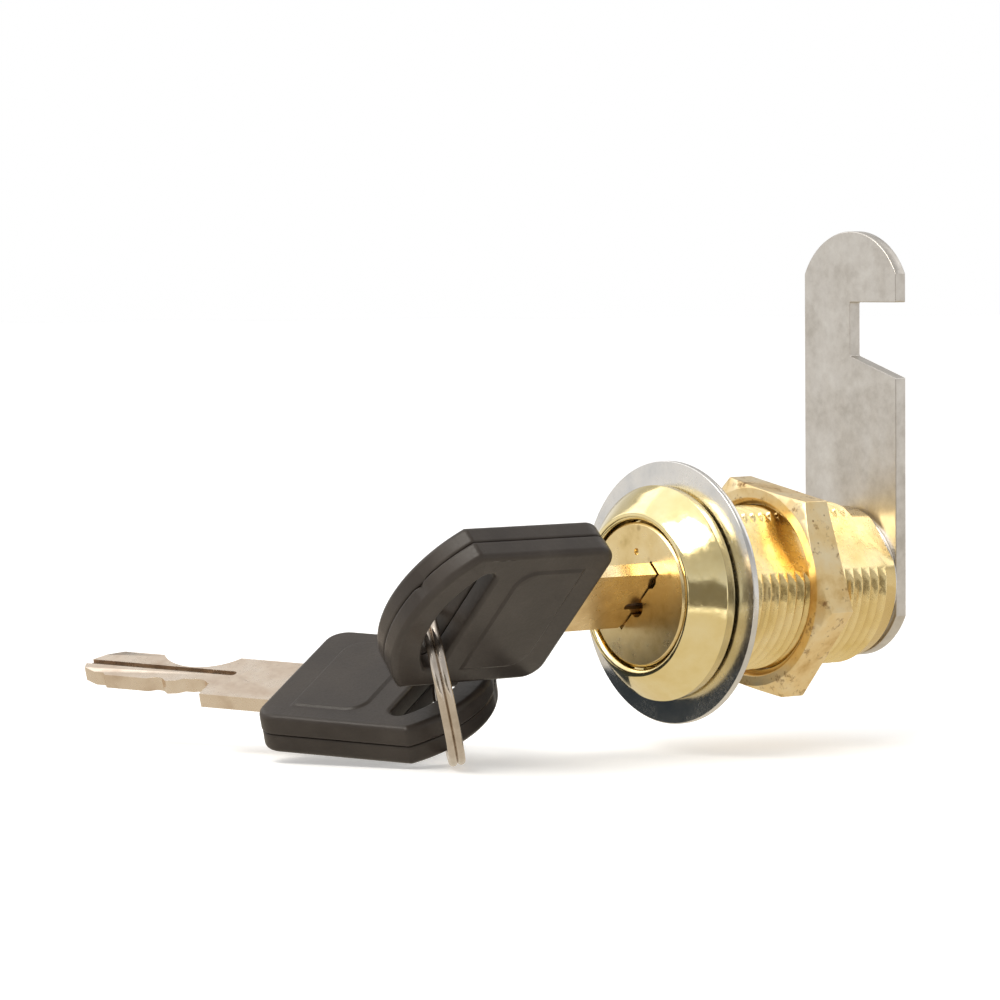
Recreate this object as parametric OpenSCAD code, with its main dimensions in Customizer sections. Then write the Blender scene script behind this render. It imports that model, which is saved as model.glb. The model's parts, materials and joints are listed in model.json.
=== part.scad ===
// Cam lock: a threaded round barrel with two flats, a keyed plug with five
// sprung wafers, a hook cam, a hexagonal mounting nut, a trim washer and two
// keys with two-part plastic heads on a split ring.
// The lock axis is Y and the origin lies on it. The panel front is y = 0.
// The key enters from -Y, the hook cam points to +Z.

// which node to draw

/* [Barrel] */
// outer diameter of the thread
barrel_d = 19.05; // [14:0.05:40]
// from the panel face to the rear end of the barrel
barrel_l = 26.8; // [18:0.1:60]
// across the two flats of the barrel
barrel_af = 16.2; // [12:0.1:38]
// direction the flats face, from +X towards +Z
flat_angle = 38; // [0:1:90]
// thread pitch
pitch = 1.27; // [0.8:0.01:3]
// thread depth
thread_h = 0.68; // [0.3:0.01:1.6]
// plain end behind the thread
thread_end = 1.3; // [0.5:0.1:5]

/* [Bezel] */
// largest diameter of the conical front
bezel_d = 24.6; // [18:0.1:50]
// depth of the conical front
bezel_h = 4.45; // [2:0.05:12]
// depth of the straight rim at the back of the cone
rim_h = 1.25; // [0.4:0.05:4]
// diameter of the outer edge of the lip
lip_d = 19; // [14:0.1:40]
// diameter of the recess for the plug face
recess_d = 17.1; // [12:0.1:36]
// width of the small locating lug in the recess
lug_w = 1.6; // [0.5:0.1:4]

/* [Trim washer] */
// outer diameter
washer_d = 30; // [22:0.1:60]
// thickness
washer_t = 0.8; // [0.4:0.05:3]
// gap between the washer and the bezel as it hangs loose
washer_gap = 0.3; // [0.1:0.05:1]
// clearance round the barrel
washer_clr = 0.35; // [0.1:0.05:1]

/* [Mounting nut] */
// across the flats
nut_af = 23.1; // [20:0.1:50]
// thickness
nut_t = 4.1; // [2:0.1:12]
// from the panel face to the front of the nut
nut_y = 11.8; // [2:0.1:40]
// turn of the hexagon, from +X towards +Z
nut_angle = -10.4; // [-30:0.1:30]
// radial clearance over the thread
nut_clr = 0.08; // [0.03:0.01:0.3]

/* [Plug] */
// diameter of the plug in the barrel
plug_d = 13; // [9:0.1:28]
// diameter of the visible plug face
face_d = 16.4; // [11:0.1:35]
// thickness of the plug's front flange
face_t = 2; // [1:0.1:5]
// depth of the plug face behind the lip
face_drop = 0.25; // [0.05:0.05:2]
// radial running clearance of the plug
run_clr = 0.06; // [0.02:0.01:0.1]
// tilt of the keyway, from +Z towards +X
key_angle = 45; // [0:1:90]
// diameter of the tail that carries the cam
tail_d = 8.4; // [6:0.1:18]
// across the flats of the tail
tail_af = 6.4; // [4:0.1:14]
// diameter of the cam screw's thread
screw_d = 4; // [3:0.1:8]

/* [Wafers] */
// how many wafers
wafer_n = 5; // [3:1:5]
// spacing of the wafers
wafer_pitch = 2.6; // [2:0.1:5]
// thickness of a wafer
wafer_t = 1.2; // [0.6:0.05:3]
// width of a wafer
wafer_w = 4.9; // [3.5:0.1:12]
// how far a sprung wafer can travel
wafer_travel = 0.6; // [0.2:0.05:1.5]
// clearance of a wafer in its slot
wafer_clr = 0.05; // [0.02:0.01:0.2]

/* [Cam] */
// thickness of the cam plate
cam_t = 1.6; // [0.8:0.1:5]
// width of the cam plate
cam_w = 15.8; // [12:0.1:40]
// from the lock axis to the tip
cam_reach = 41; // [24:0.5:120]
// from the lock axis to the lower end
cam_heel = 8.8; // [6:0.1:24]
// radius of the rounded ends
cam_end_r = 8.75; // [7:0.05:30]
// height of the upper edge of the hook slot
hook_top = 32.7; // [18:0.1:100]
// height of the slot at its inner end
hook_h = 6.3; // [3:0.1:20]
// extra height of the slot at its mouth
hook_flare = 2.5; // [0:0.1:10]
// gap between the barrel end and the cam
cam_gap = 0.6; // [0.3:0.05:3]

/* [Keys] */
// thickness of the key blade
blade_t = 1.7; // [1:0.1:4]
// from the head to the end of the shoulder
shoulder_l = 10.2; // [5:0.1:30]
// length of the cut part of the blade
cut_l = 17.6; // [10:0.1:40]
// width of the plastic head
head_w = 21.6; // [16:0.1:40]
// length of the plastic head
head_l = 24; // [19:0.1:50]
// radius of the rounded outer end of the head
head_r = 15; // [12:0.1:40]
// thickness of the plastic head
head_t = 4.8; // [3:0.1:10]
// width of the slot for the ring
slot_w = 4.8; // [3:0.1:10]
// plastic left outside the slot
slot_rim = 3.6; // [1.5:0.1:8]
// radius of the rounded ends of the slot
slot_end = 1.2; // [0.5:0.1:3]
// gap between the plug face and the head
key_gap = 9.8; // [4:0.1:30]

/* [Split ring] */
// outer diameter of the ring
ring_d = 19; // [12:0.1:40]
// diameter of the wire
wire_d = 1; // [0.6:0.05:3]

/* [Hidden] */
$fn = 96;
e = 0.01;
root_r = barrel_d / 2 - thread_h;
plug_r = plug_d / 2;
bore_r = plug_r + run_clr;
bezel_back = -(washer_t + washer_gap);
lip_y = bezel_back - bezel_h;
face_y = lip_y + face_drop;
floor_y = face_y + face_t + 0.1;
thread_start = 0.4;
thread_n = floor((barrel_l - thread_end - thread_start) / pitch);
cam_y = barrel_l + cam_gap;
tail_end = cam_y + cam_t;
key_head_y = face_y - key_gap;
blade_h = blade_t / 2;
// the nut and the washer never get thinner than their work needs
nut_flats = max(nut_af, barrel_d + 3.9);
trim_d = max(washer_d, barrel_d + 6);
key_lo = -4;
key_hi = 2.1;
shoulder_lo = -4.7;
shoulder_hi = 4.4;
wafer_y0 = face_y + face_t + 1.2;
wafer_r = plug_r - 0.1;
groove_r = plug_r + wafer_travel + 0.3;
ear_w = 1.85;
ear_h = 1;
ear_z = 0.6;
spring_r = 0.42;
spring_top = min(4.4, sqrt(pow(plug_r - 0.15, 2) - pow(wafer_w / 2 + ear_w + 0.1, 2)));
tab_r = plug_r + 1;
tab_w = 30;
tab_at = 173;
stop_turn = 90;
hole_in = head_l - slot_rim - slot_w;
hole_r = head_r - slot_rim;
ring_r = (ring_d - wire_d) / 2;
// how the ring and the spare key lie
ring_at = [-6.26, -28.62, -8.9];
ring_turn = [0, 78.45, 55.4];
spare_at = [-27.95, -32.88, -10.99];
spare_turn = [173.5, -67.6, -56.85];

// a plate seen along the lock axis: x stays x, the second axis is z
module plate(y, t) {
    translate([0, y + t, 0]) rotate([90, 0, 0]) linear_extrude(t) children();
}

// a plate that lies in the plane of the key: the first axis is y, the second z
module blank(x, t) {
    translate([x, 0, 0]) rotate([90, 0, 90]) linear_extrude(t) children();
}

// a profile of radius and y turned round the lock axis
module turned(points) {
    rotate([-90, 0, 0]) rotate_extrude() polygon(points);
}

// a circle with two flats
module double_d(d, af, angle = 0) {
    intersection() {
        circle(d / 2);
        rotate(angle) square([af, 2 * d], center = true);
    }
}

// a ring sector from angle a to angle b, less than half a turn each way
module sector(r_in, r_out, a, b) {
    far = 2 * r_out;
    mid = (a + b) / 2;
    difference() {
        intersection() {
            circle(r_out);
            polygon([[0, 0], far * [cos(a), sin(a)], far * [cos(mid), sin(mid)],
                     far * [cos(b), sin(b)]]);
        }
        circle(r_in);
    }
}

// pieces drawn with the keyway upright and then tilted with it
module keyed() {
    rotate([0, key_angle, 0]) children();
}

function wafer_y(i) = wafer_y0 + i * wafer_pitch;

function thread_points() = [
    for (i = [0 : thread_n - 1])
        for (k = [0, 1])
            [k == 0 ? root_r : barrel_d / 2, thread_start + (i + k / 2) * pitch]
];

module housing() {
    color([0.83, 0.69, 0.38]) difference() {
        union() {
            turned([
                [bore_r, floor_y], [recess_d / 2, floor_y], [recess_d / 2, lip_y + 0.3],
                [recess_d / 2 + 0.3, lip_y], [lip_d / 2 - 0.25, lip_y],
                [lip_d / 2, lip_y + 0.2], [bezel_d / 2, bezel_back - rim_h],
                [bezel_d / 2, bezel_back - rim_h + 0.15],
                [bezel_d / 2 - 0.12, bezel_back], [bore_r, bezel_back]
            ]);
            intersection() {
                turned(concat(
                    [[bore_r, bezel_back - 0.5], [root_r, bezel_back - 0.5]],
                    thread_points(),
                    [[root_r, thread_start + thread_n * pitch],
                     [root_r, barrel_l - 0.3], [root_r - 0.3, barrel_l],
                     [bore_r, barrel_l]]
                ));
                plate(bezel_back - 1, barrel_l + 3)
                    rotate(flat_angle) square([barrel_af, 3 * barrel_d], center = true);
            }
            // locating lug in the recess
            intersection() {
                plate(lip_y + 0.5, floor_y - lip_y - 0.4)
                    translate([0, -recess_d / 2 - 0.2]) square([lug_w, 1], center = true);
                turned([[face_d / 2 + 0.12, lip_y], [recess_d / 2 + 0.2, lip_y],
                        [recess_d / 2 + 0.2, floor_y + 0.1], [face_d / 2 + 0.12, floor_y + 0.1]]);
            }
        }
        // grooves that take the sprung wafers when the key is out
        keyed() plate(floor_y + 0.6, (wafer_n - 1) * wafer_pitch + wafer_t + 1.8)
            intersection() {
                circle(groove_r);
                square([wafer_w + 0.6, 3 * plug_d], center = true);
            }
        // notch for the tab of the stop washer
        plate(barrel_l - 1.9, 3)
            sector(bore_r - 0.5, tab_r + 0.12, tab_at - stop_turn - tab_w / 2 - 2,
                   tab_at + tab_w / 2 + 2);
    }
}

module plug() {
    color([0.80, 0.66, 0.36]) keyed() difference() {
        union() {
            turned([
                [0, face_y], [face_d / 2 - 0.25, face_y], [face_d / 2, face_y + 0.25],
                [face_d / 2, face_y + face_t], [plug_r, face_y + face_t],
                [plug_r, barrel_l - 0.05], [0, barrel_l - 0.05]
            ]);
            plate(barrel_l - 0.1, tail_end - barrel_l) double_d(tail_d, tail_af);
        }
        // keyway with a ward rib, and the wider mouth for the key's shoulder
        difference() {
            plate(face_y - 1, cut_l + 2.6)
                translate([-blade_h - 0.15, key_lo - 0.25])
                    square([blade_t + 0.3, key_hi - key_lo + 0.5]);
            plate(floor_y + 0.5, cut_l + 1)
                translate([blade_h - 0.25, -1.2]) square([1, 0.4]);
        }
        plate(face_y - 1, 1.75)
            translate([-blade_h - 0.15, shoulder_lo - 0.2])
                square([blade_t + 0.3, shoulder_hi - shoulder_lo + 0.4]);
        plate(face_y - 1, 2.6) translate([blade_h + 0.1, -1.1]) circle(1.15);
        plate(face_y - 1, 2.2) translate([blade_h, 2.9])
            polygon([[0, -1], [0.55, -0.35], [0.55, 0.45], [0, 1.1]]);
        // small drilled mark on the face
        plate(face_y - 1, 1.3) rotate(key_angle) translate([0, face_d * 0.297]) circle(0.4);
        // wafer slots with a side pocket for each spring
        for (i = [0 : wafer_n - 1]) {
            plate(wafer_y(i) - wafer_clr, wafer_t + 2 * wafer_clr)
                square([wafer_w + 2 * wafer_clr, 3 * plug_d], center = true);
            plate(wafer_y(i) - wafer_clr, wafer_t + 2 * wafer_clr)
                translate([-wafer_w / 2 - ear_w - 0.1, ear_z - wafer_travel - 0.2])
                    square([ear_w + 0.5, spring_top - ear_z + wafer_travel + 0.2]);
        }
        // tapped hole for the cam screw
        plate(barrel_l - 9, 20) circle(screw_d / 2);
    }
}

module wafer(i) {
    color([0.86, 0.74, 0.45]) keyed() plate(wafer_y(i), wafer_t) difference() {
        union() {
            intersection() {
                circle(wafer_r);
                square([wafer_w, 3 * plug_d], center = true);
            }
            translate([-wafer_w / 2 - ear_w, ear_z]) square([ear_w + 0.5, ear_h]);
        }
        // the window leaves room for every height of the blade
        translate([-blade_h - 0.35, key_lo - 0.35])
            square([blade_t + 0.7, key_hi - key_lo + wafer_travel + 0.55]);
    }
}

module wafer_spring(i) {
    r_in = spring_r - 0.11;
    r_out = spring_r + 0.11;
    arc = 56;
    color([0.75, 0.75, 0.78]) keyed()
        translate([-wafer_w / 2 - ear_w / 2 - 0.05, wafer_y(i) + wafer_t / 2,
                   ear_z + ear_h + 0.02])
            linear_extrude(spring_top - ear_z - ear_h - 0.04, twist = -360 * 4,
                           slices = 36, $fn = 4)
                polygon(concat(
                    [for (a = [-arc : arc : arc]) r_out * [cos(a), sin(a)]],
                    [for (a = [arc : -arc : -arc]) r_in * [cos(a), sin(a)]]
                ));
}

module stop_washer() {
    color([0.72, 0.72, 0.74]) union() {
        plate(barrel_l + 0.03, cam_gap - 0.03) difference() {
            circle(root_r - 0.75);
            rotate(-key_angle) double_d(tail_d + 0.04, tail_af + 0.04);
        }
        plate(barrel_l - 1.6, 1.8) sector(bore_r + 0.12, tab_r, tab_at - tab_w / 2,
                                          tab_at + tab_w / 2);
    }
}

module cam() {
    color([0.72, 0.70, 0.67]) plate(cam_y, cam_t) difference() {
        intersection() {
            translate([-cam_w / 2, -cam_heel - 1]) square([cam_w, cam_reach + cam_heel + 2]);
            union() {
                translate([0, cam_reach - cam_end_r]) circle(cam_end_r);
                translate([0, cam_end_r - cam_heel]) circle(cam_end_r);
                translate([-cam_w / 2, cam_end_r - cam_heel])
                    square([cam_w, cam_reach + cam_heel - 2 * cam_end_r]);
            }
        }
        polygon([
            [0.05, hook_top], [cam_w, hook_top],
            [cam_w, hook_top - hook_h - hook_flare * 2], [cam_w / 2, hook_top - hook_h - hook_flare],
            [0.05, hook_top - hook_h]
        ]);
        rotate(-key_angle) double_d(tail_d + 0.04, tail_af + 0.04);
    }
}

module lock_washer() {
    color([0.68, 0.68, 0.70]) plate(tail_end, 0.5) difference() {
        circle(screw_d + 0.4);
        circle(screw_d / 2 + 0.2);
    }
}

module cam_screw() {
    color([0.70, 0.70, 0.72]) difference() {
        turned([
            [0, barrel_l - 8], [screw_d / 2 - 0.4, barrel_l - 8], [screw_d / 2, barrel_l - 7.6],
            [screw_d / 2, tail_end + 0.5], [screw_d, tail_end + 0.5],
            [screw_d, tail_end + 1.8], [screw_d - 0.5, tail_end + 2.3], [0, tail_end + 2.3]
        ]);
        keyed() {
            plate(tail_end + 1.2, 3) square([0.9, 2.4 * screw_d * 0.5], center = true);
            plate(tail_end + 1.2, 3) square([2.4 * screw_d * 0.5, 0.9], center = true);
        }
    }
}

module mounting_nut() {
    corner = nut_flats / sqrt(3);
    hole = barrel_d / 2 + nut_clr;
    color([0.80, 0.60, 0.33]) difference() {
        intersection() {
            plate(nut_y, nut_t) rotate(nut_angle) circle(corner, $fn = 6);
            turned([
                [0, nut_y], [nut_flats / 2 - 0.1, nut_y], [corner + 0.1, nut_y + 0.85],
                [corner + 0.1, nut_y + nut_t], [0, nut_y + nut_t]
            ]);
        }
        turned([
            [0, nut_y - 1], [hole + 1.7, nut_y - 1], [hole, nut_y + 0.7],
            [hole, nut_y + nut_t - 0.5], [hole + 1.5, nut_y + nut_t + 1], [0, nut_y + nut_t + 1]
        ]);
    }
}

module trim_washer() {
    color([0.75, 0.76, 0.78]) plate(-washer_t, washer_t) difference() {
        circle(trim_d / 2);
        circle(barrel_d / 2 + washer_clr);
    }
}

// outline of the plastic head, drawn in by a margin
module head_shape(in = 0) {
    half = head_w / 2 - in;
    corner = 2.6 - in / 2;
    intersection() {
        translate([head_r - head_l, 0]) circle(head_r - in);
        union() {
            translate([-head_l, -half]) square([head_l - corner - in, 2 * half]);
            translate([-head_l, corner - half]) square([head_l - in, 2 * (half - corner)]);
            for (s = [-1, 1])
                translate([-corner - in, s * (half - corner)]) circle(corner);
        }
    }
}

// slot for the ring with rounded ends, with a margin drawn round it
module ring_slot(out = 0) {
    mid = head_r - head_l;
    side = out - hole_in;
    end = [-hole_in - slot_end - mid,
           sqrt(pow(hole_r - slot_end, 2) - pow(hole_in + slot_end + mid, 2))];
    far = 1.5 * (hole_r + out) / (hole_r - slot_end);
    union() {
        intersection() {
            translate([mid, 0]) circle(hole_r + out);
            polygon([
                [side, -end[1]], [side, end[1]], [mid + end[0], end[1]],
                [mid + far * end[0], far * end[1]], [mid + far * end[0], -far * end[1]],
                [mid + end[0], -end[1]]
            ]);
        }
        for (s = [-1, 1])
            translate([mid + end[0], s * end[1]]) circle(slot_end + out);
    }
}

module bow_shape(in = 0) {
    difference() {
        head_shape(1.6 + in);
        ring_slot(1.1 + in);
    }
}

module blade_shape() {
    tip = shoulder_l + cut_l;
    difference() {
        union() {
            translate([-4, shoulder_lo]) square([shoulder_l + 4, shoulder_hi - shoulder_lo]);
            polygon([
                [shoulder_l - 1, key_lo], [tip - 3.4, key_lo], [tip - 1.5, key_lo + 1.1],
                [tip, -0.9], [tip - 0.4, 0.5], [tip - 2.2, 1.4], [tip - 3.4, 1.4],
                [tip - 3.8, 1.9], [tip - 9.4, 1.9], [tip - 10.4, 1.4], [tip - 11.2, 1.5],
                [tip - 12, key_hi], [tip - 13.2, 1.8], [tip - 14, key_hi - 0.9],
                [shoulder_l + 2, key_hi - 0.9], [shoulder_l - 1, key_hi]
            ]);
        }
        // rounded run-out cuts on both edges beside the shoulder
        translate([shoulder_l + 1.75, 2.8]) circle(1.8);
        translate([shoulder_l + 4.2, key_lo - 3.6]) circle(5.9);
    }
}

module key_metal() {
    color([0.78, 0.72, 0.66]) difference() {
        union() {
            blank(-blade_h, blade_t) bow_shape();
            blank(-blade_h, blade_t) blade_shape();
        }
        // long groove on one face
        blank(blade_h - 0.45, 1) translate([shoulder_l - 1.6, -1.5])
            square([cut_l + 3, 1]);
        blank(blade_h - 0.45, 1) translate([shoulder_l - 1.6, -1]) circle(0.5);
    }
}

// one half of the plastic head, side 1 is +X and side -1 is -X
module head_cover(side) {
    half = head_t / 2;
    color([0.17, 0.16, 0.16]) difference() {
        union() {
            blank(side > 0 ? 0.02 : -half, half - 0.02) difference() {
                head_shape();
                ring_slot();
            }
            blank(side > 0 ? half - 0.2 : -half - 0.25, 0.45) translate([-12.5, -8])
                panel_shape(8.8, 15.9);
        }
        blank(-blade_h - 0.03, blade_t + 0.06) bow_shape(-0.06);
        blank(-blade_h - 0.03, blade_t + 0.06) translate([-5, shoulder_lo - 0.05])
            square([6, shoulder_hi - shoulder_lo + 0.1]);
    }
}

// raised field with two rounded and two sharp corners
module panel_shape(w, h) {
    soft = 2.4;
    union() {
        square([w - soft, h - soft]);
        translate([soft, soft]) square([w - soft, h - soft]);
        translate([soft, h - soft]) intersection() {
            circle(soft);
            translate([-soft, 0]) square(soft);
        }
        translate([w - soft, soft]) intersection() {
            circle(soft);
            translate([0, -soft]) square(soft);
        }
    }
}

// places of the two keys and the ring
module inserted() {
    keyed() translate([0, key_head_y, 0]) children();
}

module hanging() {
    translate(spare_at) rotate(spare_turn) children();
}

module key_blade() {
    inserted() key_metal();
}

module key_cover_front() {
    inserted() head_cover(1);
}

module key_cover_back() {
    inserted() head_cover(-1);
}

module spare_blade() {
    hanging() key_metal();
}

module spare_cover_front() {
    hanging() head_cover(1);
}

module spare_cover_back() {
    hanging() head_cover(-1);
}

module split_ring() {
    color([0.75, 0.74, 0.72]) translate(ring_at) rotate(ring_turn) union() {
        for (s = [-1, 1])
            translate([0, 0, s * (wire_d / 2 - 0.05)])
                rotate_extrude() translate([ring_r, 0]) circle(wire_d / 2);
    }
}

housing();
plug();
wafer(0);  // wafer_1
wafer(1);  // wafer_2
wafer(2);  // wafer_3
wafer(3);  // wafer_4
wafer(4);  // wafer_5
wafer_spring(0);  // wafer_spring_1
wafer_spring(1);  // wafer_spring_2
wafer_spring(2);  // wafer_spring_3
wafer_spring(3);  // wafer_spring_4
wafer_spring(4);  // wafer_spring_5
stop_washer();
cam();
lock_washer();
cam_screw();
mounting_nut();
trim_washer();
key_blade();
key_cover_front();
key_cover_back();
spare_blade();
spare_cover_front();
spare_cover_back();
split_ring();
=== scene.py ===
"""Cam lock: looks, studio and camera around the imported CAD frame."""

import json
import math

import bmesh
import bpy
from mathutils import Matrix, Vector

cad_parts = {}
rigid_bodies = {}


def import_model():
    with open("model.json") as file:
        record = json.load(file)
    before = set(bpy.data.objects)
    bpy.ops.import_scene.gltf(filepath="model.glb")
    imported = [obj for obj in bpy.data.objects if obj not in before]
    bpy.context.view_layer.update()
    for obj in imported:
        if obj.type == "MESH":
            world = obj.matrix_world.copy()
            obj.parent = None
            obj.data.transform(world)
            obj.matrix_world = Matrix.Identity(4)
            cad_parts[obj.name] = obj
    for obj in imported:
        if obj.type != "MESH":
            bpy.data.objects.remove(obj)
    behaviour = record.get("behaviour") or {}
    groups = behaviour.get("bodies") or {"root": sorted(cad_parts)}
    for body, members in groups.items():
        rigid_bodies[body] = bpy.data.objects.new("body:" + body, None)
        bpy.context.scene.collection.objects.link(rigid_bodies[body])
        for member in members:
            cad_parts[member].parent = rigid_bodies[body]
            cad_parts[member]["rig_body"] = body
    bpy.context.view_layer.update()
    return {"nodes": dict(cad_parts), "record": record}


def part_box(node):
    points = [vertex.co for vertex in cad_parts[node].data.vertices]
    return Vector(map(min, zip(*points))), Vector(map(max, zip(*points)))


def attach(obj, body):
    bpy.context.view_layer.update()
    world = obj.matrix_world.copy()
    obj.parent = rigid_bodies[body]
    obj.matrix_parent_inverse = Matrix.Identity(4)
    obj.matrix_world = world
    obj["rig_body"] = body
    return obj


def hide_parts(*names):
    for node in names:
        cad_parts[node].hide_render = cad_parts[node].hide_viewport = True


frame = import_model()
NODES = frame["nodes"]
MM = 0.001

# barrel thread: pitch, radius of its root, its start and end along the axis
PITCH = 1.27 * MM
THREAD_ROOT = (19.05 / 2 - 0.68) * MM
THREAD_SPAN = (0.4 * MM, (0.4 + 19 * 1.27) * MM)
# the two flats: direction of their normal, half the distance between them
FLAT_NORMAL = math.radians(38)
FLAT_HALF = 8.1 * MM

WELD_GAP = 0.002 * MM  # points closer than this are one point
EDGE_ROUND = 0.75 * MM  # outer edges of the plastic covers
SLOT_ROUND = 0.55 * MM  # edges of the slot in the plastic covers
BACK_DRAWN_IN = 0.09 * MM  # step between the two plastic halves
# scar of the moulding gate: width, depth, how high it reaches, ripples per metre
SCAR_WIDTH, SCAR_DEPTH, SCAR_TOP = 0.7 * MM, 0.26 * MM, 1.2 * MM
SCAR_RIPPLE = 21000
WIRE = 1.0 * MM  # split ring wire
RING_STEP_TOWARD = (-0.79, 0.61, 0.0)  # side of the ring where its wire steps across
AIM = (-0.005, -0.01, 0.0)  # point that the area lights face


# ------------------------------------------------------------------ helpers
def placed(name, mesh):
    """A new object of this mesh, in the scene."""
    obj = bpy.data.objects.new(name, mesh)
    bpy.context.scene.collection.objects.link(obj)
    return obj


def shade_smooth(mesh):
    for face in mesh.polygons:
        face.use_smooth = True


def bevel_edges(obj, width, angle, clamp=True, harden=True):
    bevel = obj.modifiers.new("edge", "BEVEL")
    bevel.width = width
    bevel.segments = 2
    bevel.limit_method = "ANGLE"
    bevel.angle_limit = math.radians(angle)
    bevel.use_clamp_overlap = clamp
    bevel.harden_normals = harden


def smooth(t):
    """0 to 1 with a soft start and end."""
    t = min(1.0, max(0.0, t))
    return t * t * (3 - 2 * t)


def fill_ramp(ramp, stops):
    """Set a colour ramp to (position, colour) stops."""
    while len(ramp.elements) < len(stops):
        ramp.elements.new(0.5)
    for element, (position, color) in zip(ramp.elements, stops):
        element.position = position
        element.color = (*color, 1)


# ---------------------------------------------------------------- materials
class Shader:
    """A procedural material built up from small parts in object coordinates."""

    def __init__(self, name, color, metallic, rough, specular=0.5):
        self.mat = bpy.data.materials.new(name)
        self.mat.use_nodes = True
        self.tree = self.mat.node_tree
        self.bsdf = self.tree.nodes["Principled BSDF"]
        self.bsdf.inputs["Base Color"].default_value = (*color, 1)
        self.bsdf.inputs["Metallic"].default_value = metallic
        self.bsdf.inputs["Roughness"].default_value = rough
        self.bsdf.inputs["Specular IOR Level"].default_value = specular
        self.coord = self.node("ShaderNodeTexCoord").outputs["Object"]
        self.height = []

    def node(self, kind, **values):
        n = self.tree.nodes.new(kind)
        for key, value in values.items():
            setattr(n, key, value)
        return n

    def link(self, a, b):
        self.tree.links.new(a, b)

    def mapped(self, scale):
        m = self.node("ShaderNodeMapping")
        m.inputs["Scale"].default_value = scale
        self.link(self.coord, m.inputs["Vector"])
        return m.outputs["Vector"]

    def noise(self, scale, detail=4.0, rough=0.55, stretch=(1, 1, 1)):
        n = self.node("ShaderNodeTexNoise")
        n.inputs["Scale"].default_value = scale
        n.inputs["Detail"].default_value = detail
        n.inputs["Roughness"].default_value = rough
        self.link(self.mapped(stretch), n.inputs["Vector"])
        return n.outputs["Fac"]

    def specks(self, scale, low, high):
        """1 in small round spots, 0 between them."""
        v = self.node("ShaderNodeTexVoronoi")
        v.inputs["Scale"].default_value = scale
        self.link(self.mapped((1, 1, 1)), v.inputs["Vector"])
        return self.ramp(v.outputs["Distance"], [(low, 1.0), (high, 0.0)])

    def ramp(self, fac, stops):
        """A number running straight between two (input, output) stops."""
        r = self.node("ShaderNodeMapRange")
        (a, va), (b, vb) = stops
        r.inputs["From Min"].default_value = a
        r.inputs["From Max"].default_value = b
        r.inputs["To Min"].default_value = va
        r.inputs["To Max"].default_value = vb
        self.link(fac, r.inputs["Value"])
        return r.outputs["Result"]

    def math(self, op, a, b=None):
        m = self.node("ShaderNodeMath", operation=op)
        for slot, value in zip((0, 1), (a, b)):
            if value is None:
                continue
            if isinstance(value, (int, float)):
                m.inputs[slot].default_value = value
            else:
                self.link(value, m.inputs[slot])
        return m.outputs["Value"]

    def tones(self, fac, colors):
        """Base colour from a ramp of (position, colour) stops driven by fac."""
        r = self.node("ShaderNodeValToRGB")
        fill_ramp(r.color_ramp, colors)
        self.link(fac, r.inputs["Fac"])
        return r.outputs["Color"]

    def mix(self, fac, a, b):
        """Colour a where fac is 0, colour b where it is 1."""
        m = self.node("ShaderNodeMix", data_type="RGBA")
        self.link(fac, m.inputs["Factor"])
        color_a, color_b, color_out = 6, 7, 2
        for index, value in ((color_a, a), (color_b, b)):
            if isinstance(value, tuple):
                m.inputs[index].default_value = (*value, 1)
            else:
                self.link(value, m.inputs[index])
        return m.outputs[color_out]

    def color(self, socket):
        self.link(socket, self.bsdf.inputs["Base Color"])

    def rough(self, socket):
        self.link(socket, self.bsdf.inputs["Roughness"])

    def bump(self, height, strength, distance):
        b = self.node("ShaderNodeBump")
        b.inputs["Strength"].default_value = strength
        b.inputs["Distance"].default_value = distance
        self.link(height, b.inputs["Height"])
        if self.height:
            self.link(self.height[-1], b.inputs["Normal"])
        self.height.append(b.outputs["Normal"])
        self.link(b.outputs["Normal"], self.bsdf.inputs["Normal"])


def axis_split(s):
    sep = s.node("ShaderNodeSeparateXYZ")
    s.link(s.coord, sep.inputs["Vector"])
    return sep.outputs["X"], sep.outputs["Y"], sep.outputs["Z"]


def radius_from_axis(s, x, z):
    return s.math("SQRT", s.math("ADD", s.math("MULTIPLY", x, x), s.math("MULTIPLY", z, z)))


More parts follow.
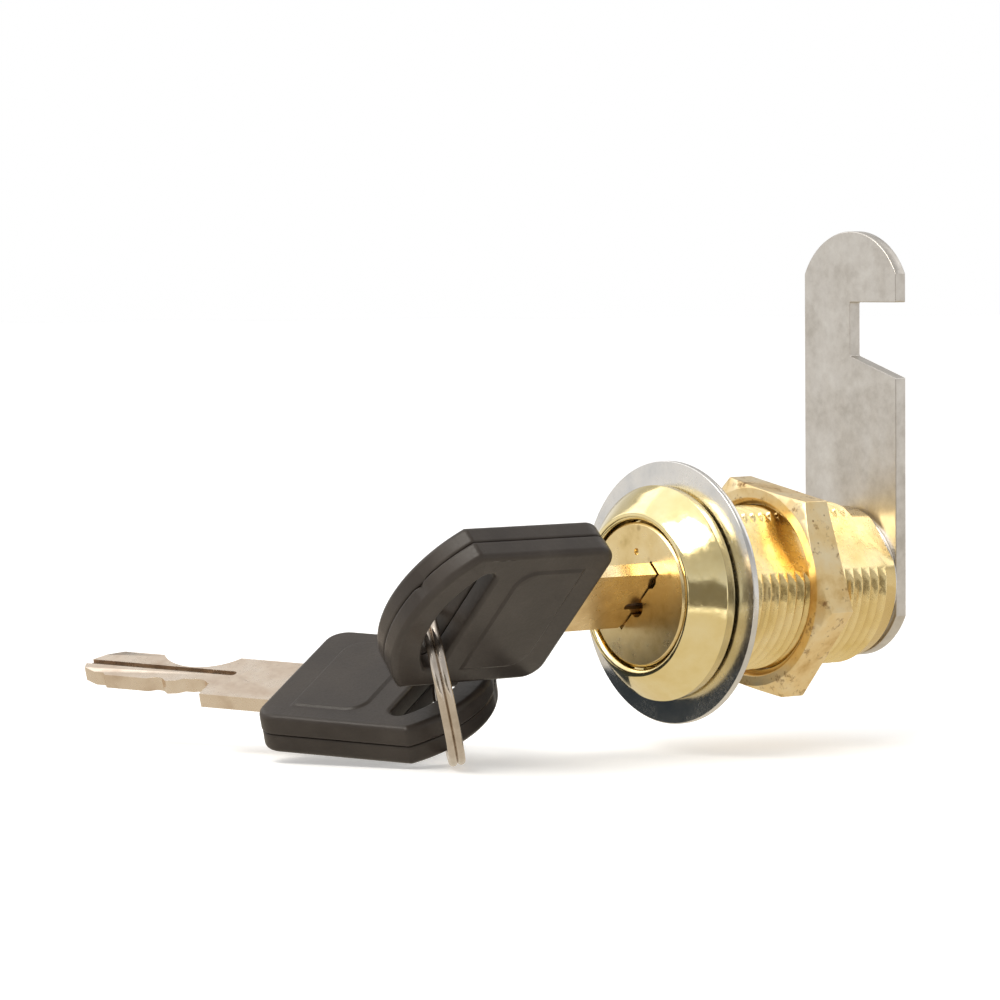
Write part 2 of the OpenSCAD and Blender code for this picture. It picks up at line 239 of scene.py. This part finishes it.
def polished_brass():
    s = Shader("polished_brass", (0.87, 0.70, 0.36), 1.0, 0.1)
    x, y, z = axis_split(s)
    back = s.ramp(y, [(-0.0012, 0.0), (-0.0006, 1.0)])
    cloud = s.noise(260, 5)
    fine = s.noise(1500, 3)
    plated = s.tones(cloud, [
        (0.3, (0.87, 0.70, 0.33)), (0.5, (0.92, 0.77, 0.41)), (0.72, (0.95, 0.83, 0.50)),
    ])
    satin = s.tones(cloud, [
        (0.28, (0.83, 0.63, 0.26)), (0.5, (0.92, 0.73, 0.36)), (0.75, (0.97, 0.81, 0.47)),
    ])
    # tarnish stays in the thread roots; the two flats are clean
    r = radius_from_axis(s, x, z)
    root = s.ramp(r, [(THREAD_ROOT, 1.0), (THREAD_ROOT + 0.45 * MM, 0.0)])
    across = s.math("ABSOLUTE", s.math("ADD", s.math("MULTIPLY", x, math.cos(FLAT_NORMAL)),
                                       s.math("MULTIPLY", z, math.sin(FLAT_NORMAL))))
    flat = s.ramp(across, [(FLAT_HALF - 0.00006, 1.0), (FLAT_HALF - 0.00002, 0.0)])
    dirt = s.math("MULTIPLY", s.math("MULTIPLY", root, flat), s.math("MULTIPLY", back, 0.35))
    s.color(s.mix(dirt, s.mix(back, plated, satin), (0.46, 0.28, 0.08)))
    base = s.ramp(back, [(0.0, 0.10), (1.0, 0.22)])
    s.rough(s.math("ADD", base, s.ramp(fine, [(0.3, -0.02), (0.8, 0.11)])))
    s.bump(s.noise(420, 4), 0.07, 0.00012)
    s.bump(s.noise(2400, 3), 0.10, 0.000016)
    s.bump(s.specks(900, 0.05, 0.11), 0.12, 0.00002)
    return s.mat


def brushed_brass():
    s = Shader("brushed_brass", (0.78, 0.60, 0.28), 1.0, 0.28)
    x, y, z = axis_split(s)
    r = radius_from_axis(s, x, z)
    rings = s.math("SINE", s.math("MULTIPLY", r, 52000.0))
    wobble = s.noise(700, 4, stretch=(1, 0.3, 1))
    tarnish = s.noise(170, 6, 0.65)
    tone = s.tones(tarnish, [
        (0.25, (0.58, 0.41, 0.15)), (0.45, (0.84, 0.65, 0.32)), (0.75, (0.95, 0.80, 0.49)),
    ])
    dark = s.specks(330, 0.08, 0.17)
    s.color(s.mix(s.math("MULTIPLY", dark, 0.6), tone, (0.33, 0.22, 0.09)))
    s.rough(s.math(
        "ADD", s.ramp(tarnish, [(0.2, 0.38), (0.8, 0.20)]),
        s.ramp(wobble, [(0.3, -0.03), (0.8, 0.08)]),
    ))
    s.bump(rings, 0.10, 0.00001)
    s.bump(wobble, 0.18, 0.00005)
    return s.mat


def raw_brass():
    s = Shader("raw_brass", (0.80, 0.58, 0.30), 1.0, 0.36)
    cloud = s.noise(210, 6, 0.6)
    grain = s.noise(1700, 4)
    tone = s.tones(cloud, [
        (0.30, (0.68, 0.45, 0.17)), (0.47, (0.90, 0.69, 0.36)), (0.70, (0.97, 0.83, 0.56)),
    ])
    blotch = s.ramp(s.noise(620, 5, 0.7), [(0.57, 0.0), (0.70, 0.85)])
    speck = s.specks(1100, 0.10, 0.2)
    speck = s.math("MULTIPLY", speck, s.ramp(s.noise(400, 2), [(0.5, 0.0), (0.62, 0.9)]))
    dirt = s.math("MAXIMUM", blotch, speck)
    s.color(s.mix(dirt, tone, (0.24, 0.12, 0.045)))
    s.rough(s.math(
        "ADD", s.ramp(cloud, [(0.3, 0.42), (0.75, 0.27)]),
        s.math("MULTIPLY", dirt, 0.25),
    ))
    s.bump(cloud, 0.35, 0.00012)
    s.bump(grain, 0.30, 0.00003)
    return s.mat


def zinc_plate():
    s = Shader("zinc_plate", (0.67, 0.67, 0.66), 1.0, 0.2)
    cloud = s.noise(190, 5)
    fine = s.noise(2200, 3)
    s.color(s.tones(cloud, [
        (0.3, (0.62, 0.62, 0.62)), (0.52, (0.77, 0.75, 0.72)), (0.75, (0.86, 0.83, 0.79)),
    ]))
    s.rough(s.math(
        "ADD", s.ramp(cloud, [(0.3, 0.15), (0.75, 0.27)]),
        s.ramp(fine, [(0.3, -0.02), (0.8, 0.10)]),
    ))
    s.bump(s.noise(520, 5), 0.22, 0.00008)
    s.bump(s.specks(1300, 0.06, 0.15), 0.3, 0.00002)
    return s.mat


def satin_steel():
    s = Shader("satin_steel", (0.60, 0.58, 0.55), 1.0, 0.36)
    cloud = s.noise(200, 6, 0.6)
    brush = s.noise(900, 4, stretch=(1, 1, 0.25))
    mottle = s.noise(900, 5, 0.7)
    blend = s.math("ADD", s.math("MULTIPLY", cloud, 0.6), s.math("MULTIPLY", mottle, 0.4))
    s.color(s.tones(blend, [
        (0.34, (0.52, 0.485, 0.44)), (0.5, (0.64, 0.605, 0.56)), (0.66, (0.73, 0.70, 0.655)),
    ]))
    s.rough(s.math(
        "ADD", s.ramp(cloud, [(0.3, 0.42), (0.7, 0.31)]),
        s.ramp(brush, [(0.3, -0.04), (0.8, 0.10)]),
    ))
    s.bump(brush, 0.16, 0.00004)
    s.bump(mottle, 0.20, 0.00003)
    return s.mat


def nickel():
    s = Shader("nickel", (0.78, 0.70, 0.63), 1.0, 0.27)
    cloud = s.noise(240, 6, 0.6)
    fine = s.noise(1500, 4)
    plate = s.tones(cloud, [
        (0.28, (0.60, 0.47, 0.36)), (0.5, (0.78, 0.66, 0.54)), (0.75, (0.87, 0.77, 0.66)),
    ])
    # brass tones here are a painted reflection, put on the blade that sits in the lock
    brass = s.tones(cloud, [
        (0.28, (0.60, 0.40, 0.15)), (0.5, (0.80, 0.58, 0.27)), (0.75, (0.90, 0.70, 0.38)),
    ])
    # painted reflection: the blade on the lock's axis gets a brass colour that stands in for the
    # brass it reflects, the spare (low x) does not
    x, _, _ = axis_split(s)
    s.color(s.mix(s.ramp(x, [(-0.020, 0.0), (-0.012, 0.85)]), plate, brass))
    s.rough(s.math(
        "ADD", s.ramp(cloud, [(0.3, 0.34), (0.72, 0.20)]),
        s.ramp(fine, [(0.3, -0.03), (0.8, 0.10)]),
    ))
    s.bump(s.noise(500, 4), 0.06, 0.00005)
    s.bump(fine, 0.03, 0.00001)
    return s.mat


def key_groove():
    """The dark grease left in the long groove of a key."""
    s = Shader("key_groove", (0.16, 0.10, 0.06), 0.6, 0.5)
    cloud = s.noise(700, 4)
    s.color(s.tones(cloud, [
        (0.3, (0.07, 0.045, 0.025)), (0.6, (0.17, 0.11, 0.065)), (0.8, (0.34, 0.25, 0.17)),
    ]))
    s.rough(s.ramp(cloud, [(0.3, 0.42), (0.8, 0.62)]))
    s.bump(s.noise(1600, 3), 0.2, 0.00002)
    return s.mat


def ring_wire():
    s = Shader("ring_wire", (0.72, 0.70, 0.66), 1.0, 0.16)
    fine = s.noise(1400, 4)
    s.color(s.tones(s.noise(300, 5), [
        (0.3, (0.50, 0.43, 0.36)), (0.55, (0.64, 0.57, 0.50)), (0.8, (0.76, 0.71, 0.65)),
    ]))
    s.rough(s.ramp(fine, [(0.3, 0.12), (0.8, 0.28)]))
    s.bump(fine, 0.2, 0.00002)
    return s.mat


def spring_wire():
    s = Shader("spring_wire", (0.58, 0.58, 0.60), 1.0, 0.3)
    s.rough(s.ramp(s.noise(1200, 3), [(0.3, 0.22), (0.8, 0.4)]))
    s.bump(s.noise(2000, 3), 0.2, 0.00001)
    return s.mat


def wafer_brass():
    s = Shader("wafer_brass", (0.80, 0.64, 0.33), 1.0, 0.3)
    s.color(s.tones(s.noise(400, 5), [(0.3, (0.66, 0.49, 0.21)), (0.7, (0.84, 0.69, 0.38))]))
    s.rough(s.ramp(s.noise(1500, 3), [(0.3, 0.24), (0.8, 0.42)]))
    s.bump(s.noise(900, 4), 0.2, 0.00003)
    return s.mat


def black_plastic():
    s = Shader("black_plastic", (0.012, 0.010, 0.009), 0.0, 0.34, specular=0.33)
    cloud = s.noise(150, 5)
    grain = s.noise(3600, 3, 0.6)
    wear = s.ramp(s.noise(480, 6, 0.7), [(0.58, 0.0), (0.75, 0.35)])
    tone = s.tones(cloud, [
        (0.3, (0.024, 0.018, 0.014)), (0.55, (0.036, 0.028, 0.0222)), (0.8, (0.050, 0.040, 0.032)),
    ])
    s.color(s.mix(wear, tone, (0.035, 0.031, 0.027)))
    s.rough(s.math(
        "ADD", s.ramp(cloud, [(0.3, 0.29), (0.75, 0.40)]),
        s.ramp(grain, [(0.3, -0.03), (0.8, 0.12)]),
    ))
    s.bump(s.noise(260, 4), 0.22, 0.00015)
    s.bump(s.noise(1500, 3), 0.20, 0.00003)
    s.bump(grain, 0.42, 0.00003)
    return s.mat


MATS = {
    "polished_brass": polished_brass(),
    "brushed_brass": brushed_brass(),
    "raw_brass": raw_brass(),
    "zinc_plate": zinc_plate(),
    "satin_steel": satin_steel(),
    "nickel": nickel(),
    "ring_wire": ring_wire(),
    "spring_wire": spring_wire(),
    "wafer_brass": wafer_brass(),
    "black_plastic": black_plastic(),
}
SLOT = {s["node"]: s["material_slot"] for s in frame["record"]["subparts"]}


# ------------------------------------------------------------ CAD node looks
def dress(obj, slot):
    obj.data.materials.clear()
    obj.data.materials.append(MATS[slot])


def soften(obj, width):
    """Small worn edges on a CAD node, as modifiers only."""
    weld = obj.modifiers.new("weld", "WELD")
    weld.merge_threshold = WELD_GAP
    bevel_edges(obj, width, 35)


# width of each node's worn edges, in metres
EDGE = {
    "housing": 0.00007, "plug": 0.00010, "mounting_nut": 0.00022, "trim_washer": 0.00012,
    "cam": 0.00016, "key_blade": 0.00010, "spare_blade": 0.00010, "cam_screw": 0.00015,
    "lock_washer": 0.00008, "stop_washer": 0.00008,
}
for name, obj in NODES.items():
    dress(obj, SLOT[name])
    if name in EDGE:
        soften(obj, EDGE[name])


def stain_groove(node):
    """The sunk faces of a blade's long groove get the greasy finish."""
    obj = NODES[node]
    obj.data.materials.append(key_groove())
    axis = max(obj.data.polygons, key=lambda f: f.area).normal.copy()
    heights = [v.co.dot(axis) for v in obj.data.vertices]
    middle = (min(heights) + max(heights)) / 2
    half = (max(heights) - min(heights)) / 2
    for f in obj.data.polygons:
        level = abs(f.center.dot(axis) - middle)
        if abs(f.normal.dot(axis)) > 0.99 and 0.2 * half < level < 0.8 * half:
            f.material_index = 1


for blade in ("key_blade", "spare_blade"):
    stain_groove(blade)


# ------------------------------------------------------------------ plastic
def square_to(face, axis):
    """Whether a face is square to the axis."""
    return abs(abs(face.normal.dot(axis)) - 1) < 1e-3


def flat_loops(bm, axis, level):
    """Closed outlines round the flat faces that lie at one height along the axis."""
    flat = {
        f for f in bm.faces
        if square_to(f, axis) and abs(f.verts[0].co.dot(axis) - level) < 0.01 * MM
    }
    rim = {e for f in flat for e in f.edges if sum(g in flat for g in e.link_faces) == 1}
    loops = []
    while rim:
        edge = min(rim, key=lambda e: e.index)  # the same start each run
        rim.discard(edge)
        first, last = edge.verts
        loop = [first, last]
        while last is not first:
            edge = next((e for e in last.link_edges if e in rim), None)
            if edge is None:
                break
            rim.discard(edge)
            last = edge.other_vert(last)
            loop.append(last)
        if loop[0] is loop[-1]:
            loops.append(loop[:-1])
    return loops


def divided(points, longest):
    """The same outline with extra points on its long straight runs."""
    out = []
    for i, p in enumerate(points):
        q = points[(i + 1) % len(points)]
        n = max(1, math.ceil((q - p).length / longest))
        out += [p.lerp(q, k / n) for k in range(n)]
    return out


def inward(points):
    """For each point of a closed 2-D outline, the mitred direction to its inside."""
    area = sum(p.x * q.y - q.x * p.y for p, q in zip(points, points[1:] + points[:1]))
    sign = 1 if area > 0 else -1
    result = []
    for i, p in enumerate(points):
        a = (p - points[i - 1]).normalized()
        b = (points[(i + 1) % len(points)] - p).normalized()
        na, nb = Vector((-a.y, a.x)) * sign, Vector((-b.y, b.x)) * sign
        mid = (na + nb).normalized()
        result.append(mid / max(0.6, mid.dot(na)))
    return result


def cover_outlines(node, blade):
    """Axis, heights and the rim, slot and field outlines of a CAD cover, as a dict."""
    bm = bmesh.new()
    bm.from_mesh(NODES[node].data)
    bmesh.ops.remove_doubles(bm, verts=bm.verts, dist=WELD_GAP)
    bmesh.ops.dissolve_limit(bm, angle_limit=math.radians(0.5), verts=bm.verts, edges=bm.edges)
    bm.edges.index_update()
    axis = max(bm.faces, key=lambda f: f.calc_area()).normal.copy()
    middle = [v.co.dot(axis) for v in NODES[blade].data.vertices]
    middle = (min(middle) + max(middle)) / 2
    if sum(v.co.dot(axis) for v in bm.verts) / len(bm.verts) < middle:
        axis.negate()
        middle = -middle
    levels = {}
    for f in bm.faces:
        if square_to(f, axis):
            level = round(f.verts[0].co.dot(axis) - middle, 5)
            levels[level] = levels.get(level, 0) + f.calc_area()
    field = max(levels)
    outer = max((l for l in levels if field / 2 < l < field - 0.05 * MM), key=levels.get)
    u = axis.orthogonal().normalized()
    w = axis.cross(u)

    def flat(v):
        return Vector((v.co.dot(u), v.co.dot(w)))

    def spread(loop):
        pts = [flat(v) for v in loop]
        few = pts[::4]
        widest = max((p - q).length for p in few for q in few)
        return sum((p - pts[0]).length for p in pts) / len(pts) + widest

    def top_beside(loop):
        return max(e.other_vert(v).co.dot(axis) for v in loop for e in v.link_edges)

    loops = sorted(flat_loops(bm, axis, middle + outer), key=spread, reverse=True)
    inner = loops[1:]
    raised = [loop for loop in inner if top_beside(loop) > middle + outer + 0.1 * MM]
    sunk = next(loop for loop in inner if loop not in raised)
    found = {
        "axis": axis, "u": u, "w": w, "middle": middle, "outer": outer, "field": field,
        "rim": divided([flat(v) for v in loops[0]], 0.4 * MM),
        "panel": divided([flat(v) for v in raised[0]], 0.6 * MM),
        "slot": divided([flat(v) for v in sunk], 0.5 * MM),
    }
    bm.free()
    return found


def quarter(top, radius, steps=6):
    """A quarter round as (inward, height) steps, ending flat at the top."""
    angles = [math.pi / 2 * k / steps for k in range(1, steps + 1)]
    return [(radius * (1 - math.cos(a)), top - radius * (1 - math.sin(a))) for a in angles]


def moulded_cover(node, blade, drawn_in):
    """A plastic half lofted on the CAD outlines: round outer edges, a worn parting
    line, a softly raised field and the scar of a moulding gate."""
    cover = cover_outlines(node, blade)
    axis, u, w, middle = (cover[k] for k in ("axis", "u", "w", "middle"))
    outer, field = cover["outer"], cover["field"]
    rim, slot, panel = cover["rim"], cover["slot"], cover["panel"]
    out = bmesh.new()

    def ring(points, dirs, shift, level):
        verts = []
        for p, d in zip(points, dirs):
            q = p + d * (shift(p) if callable(shift) else shift)
            verts.append(out.verts.new(u * q.x + w * q.y + axis * (middle + level)))
        return verts

    def skin(rings):
        """Faces between each ring of points and the next."""
        for a, b in zip(rings, rings[1:]):
            n = len(a)
            for i in range(n):
                j = (i + 1) % n
                out.faces.new((a[i], a[j], b[j], b[i]))

    def edges(verts):
        return [out.edges.get((v, verts[(i + 1) % len(verts)])) for i, v in enumerate(verts)]

    # the gate scar sits on the round end, a little off its middle
    centre = sum(slot, Vector((0, 0))) / len(slot)
    away = (centre - sum(panel, Vector((0, 0))) / len(panel)).normalized()
    aside = Vector((-away.y, away.x))
    if (u * aside.x + w * aside.y).z < 0:
        aside.negate()
    gate = max(rim, key=lambda p: (p - centre).dot(away * 0.95 + aside * 0.31))

    def scar(depth):
        def shift(p):
            t = (p - gate).length / SCAR_WIDTH
            chip = SCAR_DEPTH * math.exp(-t * t) * (1.2 + math.sin(p.x * SCAR_RIPPLE) * 0.8)
            return depth + drawn_in + chip
        return shift

    # profiles as (inward, height above the parting line)
    dirs = inward(rim)
    side = [(0.00026, 0.00003), (0.00009, 0.00009), (0.00001, 0.00020), (0.0, 0.00040)]
    side += [(0.0, outer - EDGE_ROUND)] + quarter(outer, EDGE_ROUND)
    rim_rings = [
        ring(rim, dirs, scar(d) if h < SCAR_TOP else d + drawn_in, h) for d, h in side
    ]
    dirs = [-d for d in inward(slot)]
    side = [(0.00016, 0.00003), (0.0, 0.00020), (0.0, outer - SLOT_ROUND)]
    side += quarter(outer, SLOT_ROUND)
    slot_rings = [ring(slot, dirs, d, h) for d, h in side]
    dirs = inward(panel)
    rise, steps = field - outer, 7
    side = [
        (-0.00018 + 0.00048 * k / steps, outer + rise * smooth(k / steps)) for k in range(steps + 1)
    ]
    panel_rings = [ring(panel, dirs, d, h) for d, h in side]
    for rings in (rim_rings, slot_rings, panel_rings):
        skin(rings)
    land = (rim_rings[-1], slot_rings[-1], panel_rings[0])
    top = (panel_rings[-1],)
    bottom = (rim_rings[0], slot_rings[0])
    for group in (land, top, bottom):
        borders = [e for g in group for e in edges(g)]
        bmesh.ops.triangle_fill(out, use_beauty=True, edges=borders, normal=axis)
    bmesh.ops.recalc_face_normals(out, faces=out.faces)
    mesh = bpy.data.meshes.new(node + "_moulded")
    out.to_mesh(mesh)
    out.free()
    shade_smooth(mesh)
    obj = placed(node + "_moulded", mesh)
    normal = obj.modifiers.new("normal", "WEIGHTED_NORMAL")
    normal.weight = 60
    dress(obj, "black_plastic")
    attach(obj, NODES[node]["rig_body"])
    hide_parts(node)


for prefix in ("key", "spare"):
    moulded_cover(prefix + "_cover_front", prefix + "_blade", 0.0)
    moulded_cover(prefix + "_cover_back", prefix + "_blade", BACK_DRAWN_IN)


# ------------------------------------------------------------- helical thread
def helical_barrel():
    """The barrel's parallel ridges, sheared into a true helix between the flats."""
    src = NODES["housing"]
    mesh = src.data.copy()
    mesh.name = "threaded_body"
    obj = placed("threaded_body", mesh)
    bm = bmesh.new()
    bm.from_mesh(mesh)
    bmesh.ops.remove_doubles(bm, verts=bm.verts, dist=WELD_GAP)
    low, high = THREAD_SPAN
    for v in bm.verts:
        r = math.hypot(v.co.x, v.co.z)
        if low - 1e-5 < v.co.y < high + 1e-5 and r > THREAD_ROOT - 1e-4:
            turn = (math.atan2(v.co.z, v.co.x) - FLAT_NORMAL) % math.tau
            v.co.y += PITCH * (turn / math.tau - 0.5)
    bm.to_mesh(mesh)
    bm.free()
    shade_smooth(mesh)
    bevel_edges(obj, EDGE["housing"], 28, clamp=False)
    dress(obj, "polished_brass")
    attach(obj, "housing")
    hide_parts("housing")


helical_barrel()


# ----------------------------------------------------------------- split ring
def split_ring():
    """One wire wound almost twice, with the step where it changes sides."""
    low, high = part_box("split_ring")
    centre = (low + high) / 2
    data = NODES["split_ring"].data
    pts = [v.co.copy() for v in data.vertices]
    # the ring's axis is the direction in which its vertices spread least
    cov = Matrix(((0,) * 3,) * 3)
    for p in pts[::max(1, len(pts) // 600)]:
        d = p - centre
        for i in range(3):
            for j in range(3):
                cov[i][j] += d[i] * d[j]
    axis = least_axis(cov)
    u = (Vector(RING_STEP_TOWARD) - axis * axis.dot(Vector(RING_STEP_TOWARD))).normalized()
    w = axis.cross(u)
    half = max(abs((p - centre).dot(axis)) for p in pts)
    outer = max((p - centre - axis * (p - centre).dot(axis)).length for p in pts)
    wire = WIRE / 2
    radius = outer - wire
    step = half - wire
    verts, faces = [], []
    count, sides = 300, 18
    # almost two turns; the wire steps across over 38 degrees near the end of the first
    gap, step_start, step_length = math.radians(14), math.radians(26), math.radians(38)
    total = 2 * math.tau - gap
    for k in range(count + 1):
        a = total * k / count
        blend = smooth((a - (math.tau - step_start)) / step_length)
        off = -step + 2 * step * blend
        ang = gap / 2 + a
        out = u * math.cos(ang) + w * math.sin(ang)
        spot = centre + out * radius + axis * off
        for s in range(sides):
            b = math.tau * s / sides
            # the wire is rolled slightly flat on its mating side
            verts.append(spot + out * (wire * math.cos(b)) + axis * (wire * 0.97 * math.sin(b)))
    for k in range(count):
        for s in range(sides):
            t = (s + 1) % sides
            a, b = k * sides, (k + 1) * sides
            faces.append((a + s, a + t, b + t, b + s))
    faces.append(tuple(range(sides))[::-1])
    faces.append(tuple(count * sides + s for s in range(sides)))
    mesh = bpy.data.meshes.new("split_ring_wire")
    mesh.from_pydata(verts, [], faces)
    shade_smooth(mesh)
    obj = placed("split_ring_wire", mesh)
    bevel_edges(obj, 0.12 * MM, 50, harden=False)
    obj.modifiers.new("normal", "WEIGHTED_NORMAL")
    dress(obj, "ring_wire")
    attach(obj, "ring")
    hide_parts("split_ring")


def least_axis(m):
    """Eigenvector of the smallest eigenvalue of a symmetric 3 x 3 matrix."""
    inv = (m + Matrix.Identity(3) * (1e-9 * sum(m[i][i] for i in range(3)))).inverted()
    v = Vector((0.5, 0.8, 0.2))
    for _ in range(60):
        v = (inv @ v).normalized()
    return v


split_ring()


# --------------------------------------------------------------------- studio
FLOOR_Z = min(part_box(n)[0][2] for n in NODES) - 0.2 * MM


def glow(name, color, strength):
    mat = bpy.data.materials.new(name)
    mat.use_nodes = True
    tree = mat.node_tree
    tree.nodes.remove(tree.nodes["Principled BSDF"])
    light = tree.nodes.new("ShaderNodeEmission")
    light.inputs["Color"].default_value = (*color, 1)
    light.inputs["Strength"].default_value = strength
    tree.links.new(light.outputs["Emission"], tree.nodes["Material Output"].inputs["Surface"])
    return mat


def sheet(name, corners, mat):
    mesh = bpy.data.meshes.new(name)
    mesh.from_pydata(corners, [], [tuple(range(len(corners)))])
    obj = placed(name, mesh)
    obj.data.materials.append(mat)
    return obj


def seen(obj, camera=False, diffuse=False, glossy=False):
    """Which rays meet a studio card."""
    obj.visible_camera = camera
    obj.visible_diffuse = diffuse
    obj.visible_glossy = glossy
    obj.visible_transmission = False
    obj.visible_shadow = False


def disc(radius, z, n=64):
    turns = [math.tau * k / n for k in range(n)]
    return [(radius * math.cos(t), radius * math.sin(t), z) for t in turns]


def card(name, toward, near, far, width, z, color, strength):
    """A card on the floor that only shows up in reflections."""
    d = Vector((*toward, 0)).normalized()
    side = Vector((-d.y, d.x, 0)) * width / 2
    up = Vector((0, 0, z))
    corners = [d * near - side + up, d * far - side + up, d * far + side + up, d * near + side + up]
    seen(sheet(name, corners, glow(name, color, strength)), glossy=True)


def upright(name, toward, away, width, bottom, top, color, strength):
    """The same, standing upright at a distance from the lock axis."""
    d = Vector((*toward, 0)).normalized()
    side = Vector((-d.y, d.x, 0)) * width / 2
    spots = ((-1, bottom), (1, bottom), (1, top), (-1, top))
    corners = [d * away + side * k + Vector((0, 0, z)) for k, z in spots]
    seen(sheet(name, corners, glow(name, color, strength)), glossy=True)


paint = Shader("studio_floor", (0.9, 0.9, 0.9), 0.0, 0.8, specular=0.1)
paint.bsdf.inputs["Emission Color"].default_value = (1, 1, 1, 1)
paint.bsdf.inputs["Emission Strength"].default_value = 0.34
floor = sheet("studio_floor", disc(4.0, FLOOR_Z), paint.mat)
floor.visible_glossy = False

# reflections see this warm disc in place of the floor, and cards just above it
warm = glow("floor_reflected", (1.0, 0.91, 0.75), 0.72)
seen(sheet("floor_reflected", disc(0.2, FLOOR_Z + 0.02 * MM), warm), glossy=True)
TO_CAMERA = (0.66, -0.73)
DIM = (1, 0.90, 0.72)
card("dark_front", TO_CAMERA, 0.092, 0.40, 0.34, FLOOR_Z + 0.04 * MM, DIM, 0.20)
card("light_front", TO_CAMERA, 0.070, 0.092, 0.16, FLOOR_Z + 0.05 * MM, (1, 0.97, 0.90), 1.4)
upright("dark_camera", TO_CAMERA, 0.40, 0.36, FLOOR_Z, 0.085, DIM, 0.20)
upright("dark_by_washer", (-0.79, -0.61), 0.014, 0.034, FLOOR_Z, -0.0098, (0.8, 0.93, 1.0), 0.05)

# a white surround that only the camera sees
wall = bpy.data.meshes.new("surround")
COLUMNS = 96
foot, head = disc(3.6, -0.5, COLUMNS), disc(3.6, 4.0, COLUMNS)
wall.from_pydata(foot + head, [], [
    (k, (k + 1) % COLUMNS, COLUMNS + (k + 1) % COLUMNS, COLUMNS + k) for k in range(COLUMNS)
])
surround = placed("surround", wall)
surround.data.materials.append(glow("surround", (1, 1, 1), 1.0))
seen(surround, camera=True)

world = bpy.data.worlds.new("studio")
bpy.context.scene.world = world
world.use_nodes = True
wt = world.node_tree
background = wt.nodes["Background"]
wcoord = wt.nodes.new("ShaderNodeTexCoord")
wsep = wt.nodes.new("ShaderNodeSeparateXYZ")
wt.links.new(wcoord.outputs["Generated"], wsep.inputs["Vector"])
wramp = wt.nodes.new("ShaderNodeValToRGB")
wt.links.new(wsep.outputs["Z"], wramp.inputs["Fac"])
# brightness by height, from the horizon to overhead
stops = [(0.0, 0.88), (0.12, 0.84), (0.3, 0.62), (0.6, 0.50), (0.9, 0.60)]
fill_ramp(wramp.color_ramp, [(pos, (v, v * 0.985, v * 0.96)) for pos, v in stops])
wt.links.new(wramp.outputs["Color"], background.inputs["Color"])
background.inputs["Strength"].default_value = 1.0


def area(name, place, target, size, power, color=(1, 1, 1)):
    """A rectangular light that faces a point."""
    light = bpy.data.lights.new(name, "AREA")
    light.shape = "RECTANGLE"
    light.size, light.size_y = size
    light.energy = power
    light.color = color
    obj = placed(name, light)
    obj.location = place
    obj.rotation_euler = (Vector(target) - Vector(place)).to_track_quat("-Z", "Y").to_euler()


area("key_light", (0.06, -0.40, 0.50), AIM, (0.42, 0.26), 2.0, (1, 0.96, 0.88))
area("left_light", (-0.55, -0.12, 0.38), AIM, (0.34, 0.34), 0.25)
area("back_light", (0.05, 0.55, 0.45), AIM, (0.55, 0.35), 0.5)
sun = placed("even_light", bpy.data.lights.new("even_light", "SUN"))
sun.data.energy = 0.75
sun.data.angle = math.radians(76)
sun.rotation_euler = (math.radians(18), math.radians(-22), 0)

# --------------------------------------------------------------------- camera
camera_data = bpy.data.cameras.new("photo_camera")
camera = placed("photo_camera", camera_data)
camera_data.sensor_width = 36
camera_data.lens = 162
camera_data.clip_start = 0.01
camera_data.clip_end = 20
azimuth, elevation, roll = math.radians(51.97), math.radians(3.09), math.radians(-0.41)
back = Vector((
    math.sin(azimuth) * math.cos(elevation),
    -math.cos(azimuth) * math.cos(elevation),
    math.sin(elevation),
))
right0 = Vector((math.cos(azimuth), math.sin(azimuth), 0))
up0 = back.cross(right0)
right = right0 * math.cos(roll) + up0 * math.sin(roll)
up = back.cross(right)
turn = Matrix((right, up, back)).transposed().to_4x4()
camera_place = Vector((0.39091, -0.3306, 0.03828))
camera.matrix_world = Matrix.Translation(camera_place) @ turn
bpy.context.scene.camera = camera
bpy.context.scene.view_settings.view_transform = "Standard"
